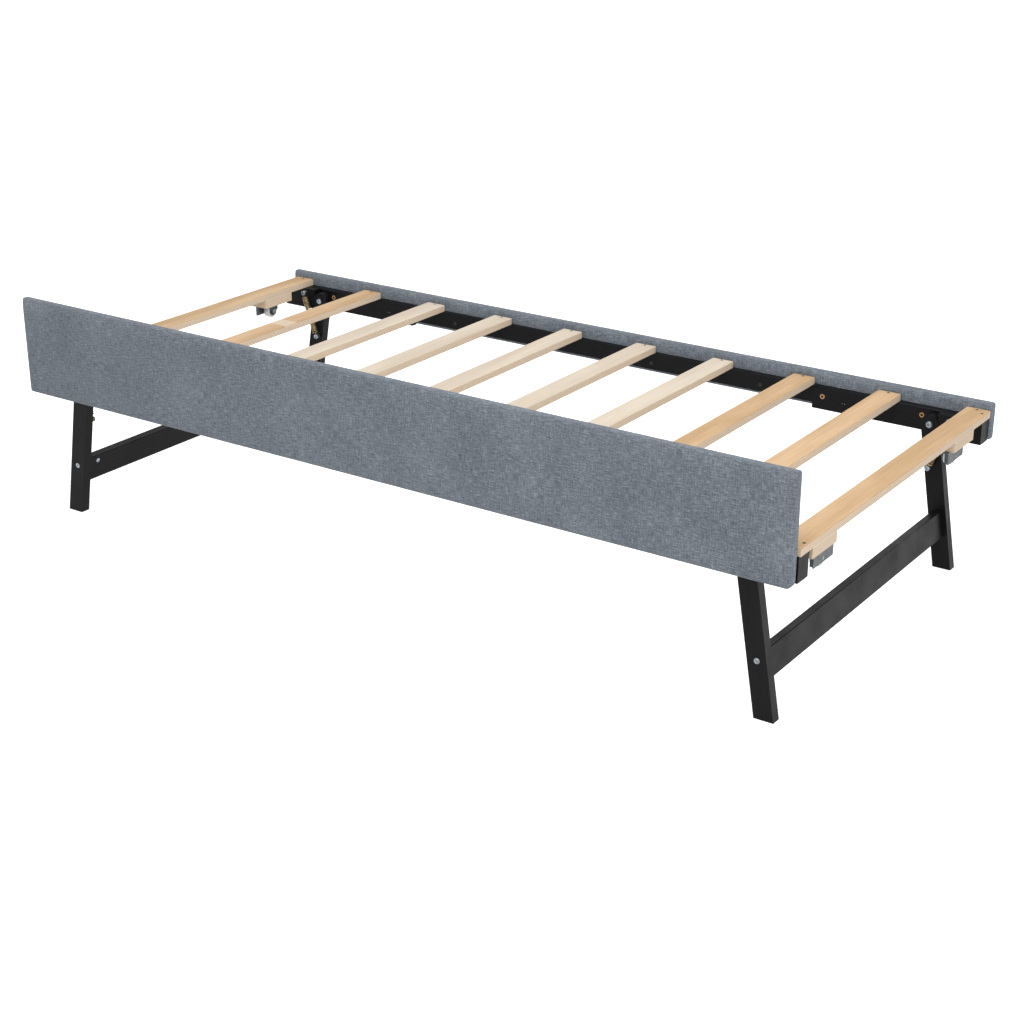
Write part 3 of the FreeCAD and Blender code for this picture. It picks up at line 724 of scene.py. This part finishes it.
class GeometryTree:
    """A Geometry Nodes tree with named inputs, and its result as a plain mesh."""

    def __init__(self, name: str, inputs: Sequence[tuple[str, str]]) -> None:
        """Starts the tree.

        Args:
            name: the tree's name.
            inputs: name and socket type of each input after the geometry.
        """
        self.tree = bpy.data.node_groups.new(name, "GeometryNodeTree")
        face = self.tree.interface
        face.new_socket("Geometry", in_out="INPUT", socket_type="NodeSocketGeometry")
        self.ids = {label: face.new_socket(label, in_out="INPUT", socket_type=kind).identifier
                    for label, kind in inputs}
        face.new_socket("Geometry", in_out="OUTPUT", socket_type="NodeSocketGeometry")
        self.graph = Graph(self.tree)
        self.inputs = self.graph.add("NodeGroupInput")
        self.output = self.graph.add("NodeGroupOutput")

    def close(self, geometry: bpy.types.NodeSocket, finish: Finish) -> None:
        """Ends the tree in Realize Instances and Set Material."""
        real = self.graph.add("GeometryNodeRealizeInstances", {0: geometry})
        painted = self.graph.add("GeometryNodeSetMaterial", {"Geometry": real.outputs[0]})
        painted.inputs["Material"].default_value = finish.build()
        self.graph.put(self.output.inputs[0], painted.outputs[0])

    def run(self, name: str, values: dict[str, object], points: Sequence[Vector] = ()) -> bpy.types.Object:
        """Evaluates the tree on loose points.

        Args:
            name: the result's name.
            values: input values by name.
            points: points that the tree starts from.

        Returns:
            A plain mesh object with no modifier.
        """
        seed_mesh = bpy.data.meshes.new(name + "_seed")
        seed_mesh.from_pydata([tuple(p) for p in points], [], [])
        carrier = link_mesh(name + "_carrier", seed_mesh)
        modifier = carrier.modifiers.new("tree", "NODES")
        modifier.node_group = self.tree
        for label, value in values.items():
            modifier[self.ids[label]] = value
        bpy.context.view_layer.update()
        evaluated = carrier.evaluated_get(bpy.context.evaluated_depsgraph_get())
        mesh = bpy.data.meshes.new_from_object(evaluated)
        mesh.name = name
        bpy.data.objects.remove(carrier)
        return link_mesh(name, mesh)


# ---------------------------------------------------------------------------
# Upholstered side panels
# ---------------------------------------------------------------------------


@dataclass
class UpholsteredPanel:
    """Side panel: a board wrapped in thin foam and linen."""

    side: Side
    corner: float = 3.6 * MM
    folded_corner: float = 12 * MM
    edge: float = 3.5 * MM
    fine: float = 24 * MM
    cell: float = 8 * MM
    crown: float = 0.8 * MM
    ripple: float = 0.45 * MM
    sag: float = 1.0 * MM
    low: Vector = field(init=False)
    high: Vector = field(init=False)

    def __post_init__(self) -> None:
        """Takes the panel's size from its CAD cover."""
        self.low, self.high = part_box(self.node)

    @property
    def node(self) -> str:
        """CAD node of the cover."""
        return f"{self.side.label}_panel_upholstery"

    @property
    def shoulders(self) -> tuple[tuple[float, float], tuple[float, float]]:
        """Reach and drop of the foam's shoulder under the top edge, outer face then inner face."""
        if self.side is Side.FRONT:
            return (26 * MM, 3.0 * MM), (12 * MM, 2 * MM)
        return (12 * MM, 2.6 * MM), (14 * MM, 2.8 * MM)

    def stations(self, low: float, high: float, cell: float, fine: float) -> np.ndarray:
        """Grid lines between two ends, close together near both.

        Args:
            low: first line.
            high: last line.
            cell: spacing in the middle.
            fine: length at each end that gets close lines.

        Returns:
            Positions in rising order.
        """
        steps = [0.0, 0.05, 0.11, 0.18, 0.26, 0.36, 0.5, 0.66, 0.83, 1.0]
        near = [low + fine * s for s in steps]
        far = [high - fine * s for s in reversed(steps)]
        middle = max(2, round((far[0] - near[-1]) / cell))
        return np.array(near + list(np.linspace(near[-1], far[0], middle + 1)[1:-1]) + far)

    def lattice(self) -> tuple[np.ndarray, list[tuple[int, ...]], np.ndarray]:
        """Surface grid of a plain box.

        Returns:
            Points, quads, and the cloth position of each quad corner.
        """
        xs = self.stations(self.low.x, self.high.x, self.cell, self.fine)
        ys = self.stations(self.low.y, self.high.y, self.cell, self.edge)
        zs = self.stations(self.low.z, self.high.z, self.cell, self.fine)
        axes = (xs, ys, zs)
        last = [len(a) - 1 for a in axes]
        index: dict[tuple[int, int, int], int] = {}
        points: list[tuple[float, float, float]] = []
        quads: list[tuple[int, ...]] = []
        cloth: list[tuple[float, float]] = []

        def corner(key: tuple[int, int, int]) -> int:
            """Index of a lattice point, made on first use."""
            if key not in index:
                index[key] = len(points)
                points.append(tuple(axes[n][key[n]] for n in range(3)))
            return index[key]

        for axis in range(3):
            first, second = [n for n in range(3) if n != axis]
            for end in (0, last[axis]):
                for i in range(last[first]):
                    for j in range(last[second]):
                        ring = [(i, j), (i + 1, j), (i + 1, j + 1), (i, j + 1)]
                        keys = []
                        for a, b in ring:
                            key = [0, 0, 0]
                            key[axis], key[first], key[second] = end, a, b
                            keys.append(tuple(key))
                        quads.append(tuple(corner(k) for k in keys))
                        for k in keys:
                            cloth.append(self.cloth_at(axis, end > 0, [axes[n][k[n]] for n in range(3)]))
        return np.array(points), quads, np.array(cloth)

    def cloth_at(self, axis: int, upper: bool, at: Sequence[float]) -> tuple[float, float]:
        """Where a point lies on the flat cloth, in metres.

        Args:
            axis: the box face's axis.
            upper: whether it is the face on that axis's high side.
            at: the point.

        Returns:
            Position along and up the cloth.
        """
        x, y, z = at
        outer = self.low.y if self.side is Side.FRONT else self.high.y
        depth = abs(y - outer)
        if axis == 0:
            return (x + depth if upper else x - depth), z
        if axis == 2:
            return x, (z + depth if upper else z - depth)
        if depth > 1e-6:
            return x + 0.37, 2 * self.high.z - z + depth
        return x, z

    def rounded(self, points: np.ndarray) -> np.ndarray:
        """Carries a box's points onto a slab with round corners and edges."""
        middle = np.array((self.low + self.high) / 2)
        half = np.array((self.high - self.low) / 2)
        p = points - middle
        flat = p[:, [0, 2]]
        folded = (flat[:, 0] > 0) & (flat[:, 1] < 0) & (self.side is Side.FRONT)
        corner = np.where(folded, self.folded_corner, self.corner)
        inner = half[[0, 2]] - corner[:, None]
        base = np.clip(flat, -inner, inner)
        over = flat - base
        reach = np.abs(over).max(axis=1)
        length = np.linalg.norm(over, axis=1)
        scale = np.where(length > 1e-9, reach / np.maximum(length, 1e-9), 0.0)
        over = over * scale[:, None]
        direction = over / np.maximum(np.linalg.norm(over, axis=1), 1e-9)[:, None]
        depth = corner - reach
        a = np.clip(self.edge - depth, 0, None)
        b = np.clip(np.abs(p[:, 1]) - (half[1] - self.edge), 0, None)
        pair = np.maximum(a, b) / np.maximum(np.hypot(a, b), 1e-9)
        both = (a > 0) & (b > 0)
        a2 = np.where(both, a * pair, a)
        b2 = np.where(both, b * pair, b)
        radial = np.where(a > 0, corner - self.edge + a2, corner - depth)
        new_flat = base + direction * radial[:, None]
        y = np.where(b > 0, np.sign(p[:, 1]) * (half[1] - self.edge + b2), p[:, 1])
        return np.stack([new_flat[:, 0], y, new_flat[:, 1]], axis=1) + middle

    def shouldered(self, points: np.ndarray) -> np.ndarray:
        """Draws both faces in towards the top, the ends and the bottom, as foam does under pulled cloth."""
        middle = np.array((self.low + self.high) / 2)
        half = np.array((self.high - self.low) / 2)
        to_top = self.high.z - points[:, 2]
        to_bottom = points[:, 2] - self.low.z
        to_end = np.minimum(points[:, 0] - self.low.x, self.high.x - points[:, 0])
        share = (points[:, 1] - middle[1]) / half[1]
        outward = share * self.side.value > 0

        def drop(distance: np.ndarray, reach: Union[float, np.ndarray], depth: Union[float, np.ndarray]
                 ) -> np.ndarray:
            """Fall that steepens over a reach."""
            t = np.clip(1 - distance / reach, 0, 1)
            return depth * t * t

        (outer_reach, outer_depth), (inner_reach, inner_depth) = self.shoulders
        pull = drop(to_top, np.where(outward, outer_reach, inner_reach),
                    np.where(outward, outer_depth, inner_depth))
        pull += drop(to_end, 9 * MM, 2.2 * MM) + drop(to_bottom, 9 * MM, 1.2 * MM)
        moved = points.copy()
        moved[:, 1] -= pull * share
        moved[:, 2] -= self.sag * np.clip(1 - to_bottom / (12 * MM), 0, 1)
        return moved

    def padded(self, points: np.ndarray) -> np.ndarray:
        """Adds the foam's crown and the pull of the cloth towards its tacked edges."""
        middle = np.array((self.low + self.high) / 2)
        half = np.array((self.high - self.low) / 2)
        u = np.clip((points - middle) / half, -1, 1)
        flat = (1 - np.abs(u[:, 0]) ** 40) * (1 - np.abs(u[:, 2]) ** 6)
        face = np.clip((np.abs(u[:, 1]) - 0.3) / 0.7, 0, 1)
        moved = points.copy()
        push = self.crown * flat
        to_edge = np.minimum(half[2] * (1 - np.abs(u[:, 2])), half[0] * (1 - np.abs(u[:, 0])))
        near = np.exp(-to_edge / 0.02)
        for i, p in enumerate(points):
            wave = noise.noise(Vector((p[0] * 24, p[2] * 9, 3.0 + self.side.value)))
            broad = noise.noise(Vector((p[0] * 5, p[2] * 12, 8.0)))
            push[i] += self.ripple * (0.9 * near[i] * wave + 0.5 * broad)
        moved[:, 1] += np.sign(u[:, 1]) * face * np.clip(push, -0.6 * MM, 1.5 * MM)
        return moved

    def build(self) -> bpy.types.Object:
        """Models the padded cover over its CAD solid.

        Returns:
            The cover.
        """
        points, quads, cloth = self.lattice()
        points = self.padded(self.shouldered(self.rounded(points)))
        mesh = bpy.data.meshes.new(f"{self.side.label}_panel_cover")
        mesh.from_pydata([tuple(p) for p in points], [], quads)
        layer = mesh.uv_layers.new(name="cloth")
        layer.data.foreach_set("uv", cloth.astype(np.float32).ravel())
        work = bmesh.new()
        work.from_mesh(mesh)
        bmesh.ops.recalc_face_normals(work, faces=work.faces)
        work.to_mesh(mesh)
        work.free()
        mesh.shade_smooth()
        cover = link_mesh(mesh.name, mesh)
        dress(cover, LINEN)
        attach(cover, "bed")
        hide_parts(self.node)
        dress(frame["nodes"][f"{self.side.label}_panel_board"], BOARD_PLY)
        log.info("covered the %s panel with %d faces", self.side.label, len(mesh.polygons))
        return cover


# ---------------------------------------------------------------------------
# Deck
# ---------------------------------------------------------------------------


@dataclass
class Deck:
    """Slats, rails, leg boards, stop blocks and what fixes them."""

    golden: frozenset = frozenset({1, 2, 8, 9, 10})
    joint_slat: int = 2
    joint_span: tuple[float, float] = (0.078, 0.118)
    sinks: tuple = ((0.5736, 0.3222), (0.804, 0.3254))
    sink_radius: float = 4.3 * MM
    ring_width: float = 2.3 * MM
    ring_height: float = 0.5 * MM

    def slats(self) -> None:
        """Gives each slat its own veneer."""
        for number in range(1, 11):
            name = f"slat_{number:02d}"
            low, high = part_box(name)
            timber = Timber.GOLDEN if number in self.golden else Timber.PALE
            patch = self.joint_span if number == self.joint_slat else None
            finish = BirchPly(f"birch_{name}", timber, seed=number * 1.37, base_z=low.z,
                              centre_x=(low.x + high.x) / 2, patch=patch)
            dress(frame["nodes"][name], finish)
            log.info("veneered %s as %s", name, timber.name.lower())

    def black_work(self) -> None:
        """Lacquers the rails, boards and blocks."""
        boards = [f"leg_board_{name}" for _, _, name in corner_names()]
        dress_nodes(["front_rail", "back_rail", "stop_blocks", *boards], BLACK_X, 0.8 * MM)

    def fixings(self) -> None:
        """Finishes the screws, staples and inserts."""
        dress_nodes(["slat_screws", "leg_board_screws", "rail_screws"], DARK_SCREW)
        dress_nodes(["staples", "pivot_inserts"], ZINC)

    def countersinks(self) -> bpy.types.Object:
        """Bare wood rings where the leg boards are countersunk for their screws.

        Returns:
            One mesh with every ring.
        """
        tree = GeometryTree("countersink_rings", [("Radius", "NodeSocketFloat"), ("Width", "NodeSocketFloat"),
                                                  ("Height", "NodeSocketFloat")])
        g = tree.graph
        start, radius, width, height = tree.inputs.outputs[0:4]
        circle = g.add("GeometryNodeCurvePrimitiveCircle", {"Resolution": 32, "Radius": radius})
        section = g.add("GeometryNodeCurvePrimitiveQuadrilateral", {"Width": width, "Height": height})
        ring = g.add("GeometryNodeCurveToMesh", {"Curve": circle.outputs[0],
                                                 "Profile Curve": section.outputs[0]})
        turned = g.add("GeometryNodeTransform", {"Geometry": ring.outputs[0],
                                                 "Rotation": (math.pi / 2, 0.0, 0.0)})
        placed = g.add("GeometryNodeInstanceOnPoints", {"Points": start, "Instance": turned.outputs[0]})
        tree.close(placed.outputs[0], BARE_WOOD)
        face = -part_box("leg_board_front_left")[1].y
        points = [Vector((end.value * x, side.value * face, z)) for side in Side for end in End
                  for x, z in self.sinks]
        rings = tree.run("countersink_rings", {"Radius": self.sink_radius, "Width": self.ring_width,
                                               "Height": self.ring_height}, points)
        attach(rings, "bed")
        log.info("cut %d countersinks", len(points))
        return rings


@dataclass
class LegFrame:
    """Two legs, their crossbar and its fixings at one end."""

    end: End

    def build(self) -> None:
        """Finishes the frame's pieces."""
        legs = [f"leg_{side.label}_{self.end.label}" for side in Side]
        dress_nodes(legs, BLACK_Z, 0.9 * MM)
        dress_nodes([f"crossbar_{self.end.label}"], BLACK_Y, 0.5 * MM)
        metal = [f"crossbar_bolts_{self.end.label}", f"crossbar_nuts_{self.end.label}",
                 f"spring_leg_bolts_{self.end.label}"]
        dress_nodes(metal, ZINC)


@dataclass
class Spring:
    """Coil spring between a stop block and a leg."""

    side: Side
    end: End
    turns: int = 26
    mean_radius: float = 6.8 * MM
    wire_radius: float = 1.1 * MM
    lead_in: float = 11 * MM
    lead_out: float = 14 * MM

    @property
    def name(self) -> str:
        """Ending of the spring's node names."""
        return f"{self.side.label}_{self.end.label}"

    def axis(self) -> tuple[Vector, Vector]:
        """Centres of the upper and lower eyes.

        Returns:
            Upper and lower points on the spring's line.
        """
        joints = {j["name"]: j for j in frame["joints"]}
        upper = Vector(joints[f"swing_{self.name}"]["pos_m"])
        along = Vector(joints[f"stretch_{self.name}"]["axis"]).normalized()
        low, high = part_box(f"spring_hook_{self.name}")
        eye = self.wire_radius * 2 + 3.35 * MM
        lower_z = low.z + eye
        return upper, upper + along * ((lower_z - upper.z) / along.z)

    def build(self, tree: GeometryTree) -> bpy.types.Object:
        """Winds the coil and joins its upper eye to it.

        Args:
            tree: the coil-winding tree.

        Returns:
            The coil with its upper eye.
        """
        upper, lower = self.axis()
        along = (lower - upper).normalized()
        length = (lower - upper).length - self.lead_in - self.lead_out
        coil = tree.run(f"coil_{self.name}", {
            "Turns": float(self.turns), "Length": length, "Mean radius": self.mean_radius,
            "Wire radius": self.wire_radius})
        turn = Vector((0, 0, 1)).rotation_difference(along).to_matrix().to_4x4()
        coil.data.transform(Matrix.Translation(upper + along * self.lead_in) @ turn)
        start = coil.data.materials[0]
        eye = self.wire_loop(upper, along)
        dress(eye, TAN_ZINC)
        piece = joined(f"spring_{self.name}_wire", [coil, eye])
        piece.data.materials[0] = start
        f"spring_{self.name}"
        f"hook_{self.name}"
        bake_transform(piece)
        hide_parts(f"spring_coil_{self.name}")
        log.info("wound the %s spring", self.name)
        return piece

    def wire_loop(self, centre: Vector, along: Vector) -> bpy.types.Object:
        """Eye round the upper bolt and the leg of wire down to the coil.

        Args:
            centre: middle of the bolt.
            along: unit vector down the spring.

        Returns:
            A closed tube.
        """
        radius = 3.05 * MM + self.wire_radius
        across = along.cross(Vector((0, 1, 0))).normalized()
        path = []
        for i in range(25):
            angle = math.radians(-60 + 330 * i / 24)
            path.append(centre - along * (radius * math.cos(angle)) + across * (radius * math.sin(angle)))
        path.append(centre + along * (self.lead_in - 2.5 * MM) - across * 1.5 * MM)
        path.append(centre + along * (self.lead_in + 0.5 * MM) - across * self.mean_radius)
        return tube(f"eye_{self.name}", path, self.wire_radius)


def tube(name: str, path: Sequence[Vector], radius: float, sides: int = 10) -> bpy.types.Object:
    """Round wire along a path, closed at both ends.

    Args:
        name: the object's name.
        path: points along the wire.
        radius: the wire's radius.
        sides: facets round it.

    Returns:
        The wire.
    """
    points, faces = [], []
    reference = (path[1] - path[0]).orthogonal().normalized()
    for i, at in enumerate(path):
        ahead = path[min(i + 1, len(path) - 1)] - path[max(i - 1, 0)]
        ahead.normalize()
        reference = (reference - ahead * reference.dot(ahead)).normalized()
        other = ahead.cross(reference)
        for k in range(sides):
            angle = 2 * math.pi * k / sides
            points.append(at + reference * (radius * math.cos(angle)) + other * (radius * math.sin(angle)))
    for i in range(len(path) - 1):
        for k in range(sides):
            a, b = i * sides + k, i * sides + (k + 1) % sides
            faces.append((a, b, b + sides, a + sides))
    faces.append(tuple(range(sides)))
    faces.append(tuple(reversed(range((len(path) - 1) * sides, len(path) * sides))))
    return mesh_object(name, points, faces)


def coil_tree() -> GeometryTree:
    """Tree that winds a close coil along +Z.

    Returns:
        The tree, with inputs for turns, length and both radii.
    """
    tree = GeometryTree("coil_winder", [("Turns", "NodeSocketFloat"), ("Length", "NodeSocketFloat"),
                                        ("Mean radius", "NodeSocketFloat"),
                                        ("Wire radius", "NodeSocketFloat")])
    g = tree.graph
    turns, length, mean, wire = tree.inputs.outputs[1:5]
    spiral = g.add("GeometryNodeCurveSpiral", {"Resolution": 20, "Rotations": turns, "Start Radius": mean,
                                               "End Radius": mean, "Height": length, "Reverse": False})
    ring = g.add("GeometryNodeCurvePrimitiveCircle", {"Resolution": 8, "Radius": wire})
    swept = g.add("GeometryNodeCurveToMesh", {"Curve": spiral.outputs[0], "Profile Curve": ring.outputs[0],
                                              "Fill Caps": True})
    tree.close(swept.outputs[0], TAN_ZINC)
    return tree


# ---------------------------------------------------------------------------
# Casters
# ---------------------------------------------------------------------------


@dataclass
class Caster:
    """Wheel, bracket and block under an end slat."""

    side: Side
    end: End

    @property
    def name(self) -> str:
        """Ending of the caster's node names."""
        return f"{self.side.label}_{self.end.label}"

    def build(self) -> None:
        """Models the wheel and finishes the bracket."""
        node = f"caster_wheel_{self.name}"
        low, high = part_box(node)
        centre = (low + high) / 2
        half, radius = (high.x - low.x) / 2, (high.z - low.z) / 2
        axis = Vector((1, 0, 0))
        tread = [(-half, radius - 5.5 * MM), (-half, radius - 2.5 * MM),
                 (-half + 0.8 * MM, radius - 1.0 * MM),
                 (-half + 2.6 * MM, radius), (half - 2.6 * MM, radius), (half - 0.8 * MM, radius - 1.0 * MM),
                 (half, radius - 2.5 * MM), (half, radius - 5.5 * MM)]
        tyre = lathe(f"tyre_{self.name}", tread, centre, axis)
        dress(tyre, TYRE)
        rim, hub, bore = radius - 5.5 * MM, 6.2 * MM, 3.05 * MM
        profile = [(-half - 0.2 * MM, bore), (-half - 0.2 * MM, hub - 0.6 * MM), (-half + 0.6 * MM, hub),
                   (-half + 2.4 * MM, hub + 0.6 * MM), (-half + 2.4 * MM, rim - 1.6 * MM),
                   (-half + 0.5 * MM, rim - 1.0 * MM), (-half + 0.3 * MM, rim),
                   (half - 0.3 * MM, rim), (half - 0.5 * MM, rim - 1.0 * MM),
                   (half - 2.4 * MM, rim - 1.6 * MM), (half - 2.4 * MM, hub + 0.6 * MM),
                   (half - 0.6 * MM, hub), (half + 0.2 * MM, hub - 0.6 * MM), (half + 0.2 * MM, bore)]
        disc = lathe(f"disc_{self.name}", profile, centre, axis)
        dress(disc, DISC)
        for piece in (tyre, disc):
            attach(piece, f"wheel_{self.name}")
        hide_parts(node)
        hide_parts(node)
        dress_nodes([f"caster_bracket_{self.name}"], CASTER_STEEL, 0.25 * MM)
        log.info("made the %s wheel", self.name)


# ---------------------------------------------------------------------------
# Camera, floor and light
# ---------------------------------------------------------------------------


@dataclass(frozen=True)
class View:
    """Camera standing off the front right corner."""

    azimuth: float = 34.49
    elevation: float = 22.19
    roll: float = 0.07
    place: tuple[float, float, float] = (2.1861, -3.1174, 1.6150)
    lens: float = 65.06

    def build(self) -> None:
        """Makes the scene's camera."""
        data = bpy.data.cameras.new("camera")
        data.lens = self.lens
        data.sensor_width = 36.0
        data.clip_start, data.clip_end = 0.05, 100.0
        camera = bpy.data.objects.new("camera", data)
        bpy.context.scene.collection.objects.link(camera)
        a, e = math.radians(self.azimuth), math.radians(self.elevation)
        back = Vector((math.sin(a) * math.cos(e), -math.cos(a) * math.cos(e), math.sin(e)))
        right = Vector((math.cos(a), math.sin(a), 0))
        up = back.cross(right)
        turn = Matrix((right, up, back)).transposed()
        turn = Matrix.Rotation(math.radians(self.roll), 3, back) @ turn
        camera.matrix_world = Matrix.Translation(self.place) @ turn.to_4x4()
        bpy.context.scene.camera = camera


@dataclass(frozen=True)
class Studio:
    """White room: floor, world and soft lamps."""

    floor_glow: float = 0.62
    sky: float = 0.50
    lamps: tuple = (
        ("key", (2.0, -3.2, 3.0), 2.4, 34.0),
        ("fill", (3.4, -1.2, 2.2), 2.0, 36.0),
        ("top", (0.3, -0.9, 3.6), 2.6, 94.0),
    )

    def seen(self, g: Graph) -> bpy.types.NodeSocket:
        """1 for camera, glossy and transmission rays, 0 for the rest."""
        path = g.add("ShaderNodeLightPath").outputs
        seen = g.math("MAXIMUM", path["Is Camera Ray"], path["Is Glossy Ray"])
        return g.math("MAXIMUM", seen, path["Is Transmission Ray"])

    def floor(self) -> None:
        """Lays a pale floor that stays white except in contact shadow."""
        size = 30.0
        points = [(-size, -size, 0), (size, -size, 0), (size, size, 0), (-size, size, 0)]
        mesh = bpy.data.meshes.new("studio_floor")
        mesh.from_pydata(points, [], [(0, 1, 2, 3)])
        floor = link_mesh("studio_floor", mesh)
        floor.location.z = -0.0005
        material = bpy.data.materials.new("studio_floor")
        material.use_nodes = True
        material.node_tree.nodes.clear()
        g = Graph(material.node_tree)
        shader = g.add("ShaderNodeBsdfPrincipled", {"Base Color": (0.86, 0.86, 0.86), "Roughness": 0.9})
        shader.inputs["Emission Color"].default_value = (1, 1, 1, 1)
        g.put(shader.inputs["Emission Strength"], g.math("MULTIPLY", self.seen(g), self.floor_glow))
        out = g.add("ShaderNodeOutputMaterial")
        g.put(out.inputs["Surface"], shader.outputs[0])
        mesh.materials.append(material)

    def world(self) -> None:
        """White to the camera, a plain level of light to the object."""
        world = bpy.data.worlds.new("studio")
        bpy.context.scene.world = world
        world.use_nodes = True
        world.node_tree.nodes.clear()
        g = Graph(world.node_tree)
        shader = g.add("ShaderNodeBackground", {"Color": (1.0, 1.0, 1.0)})
        g.put(shader.inputs["Strength"], g.blend(self.seen(g), self.sky, 1.0))
        out = g.add("ShaderNodeOutputWorld")
        g.put(out.inputs["Surface"], shader.outputs[0])

    def light(self) -> None:
        """Hangs the lamps, each aimed at the middle of the bed."""
        for name, place, size, power in self.lamps:
            data = bpy.data.lights.new(name, "AREA")
            data.shape = "SQUARE"
            data.size = size
            data.energy = power
            lamp = bpy.data.objects.new(name, data)
            bpy.context.scene.collection.objects.link(lamp)
            at = Vector(place)
            aim = (Vector((0, 0, 0.3)) - at).to_track_quat("-Z", "Y")
            lamp.matrix_world = Matrix.Translation(at) @ aim.to_matrix().to_4x4()

    def build(self) -> None:
        """Sets up the whole studio."""
        self.floor()
        self.world()
        self.light()
        bpy.context.scene.view_settings.view_transform = "Standard"


# ---------------------------------------------------------------------------


def main() -> None:
    """Builds the camera, the studio and every sub-assembly in order."""
    logging.basicConfig(level=logging.INFO, format="%(name)s: %(message)s")
    View().build()
    Studio().build()
    for side in Side:
        UpholsteredPanel(side).build()
    deck = Deck()
    deck.slats()
    deck.black_work()
    deck.fixings()
    deck.countersinks()
    for end in End:
        LegFrame(end).build()
    winder = coil_tree()
    for side, end, name in corner_names():
        Spring(side, end).build(winder)
        dress_nodes([f"spring_hook_{name}"], TAN_ZINC)
        Caster(side, end).build()
    block_low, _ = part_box("caster_blocks")
    dress_nodes(["caster_blocks"], BirchPly("birch_caster_blocks", Timber.PALE, seed=5.5, base_z=block_low.z,
                                            layer=1.7 * MM))
    dress_nodes(["caster_axles", "caster_screws", "pivot_bolts", "spring_anchor_bolts"], ZINC)
    dress_nodes(["pivot_washers"], DARK_SCREW)


if __name__ == "__main__":
    main()
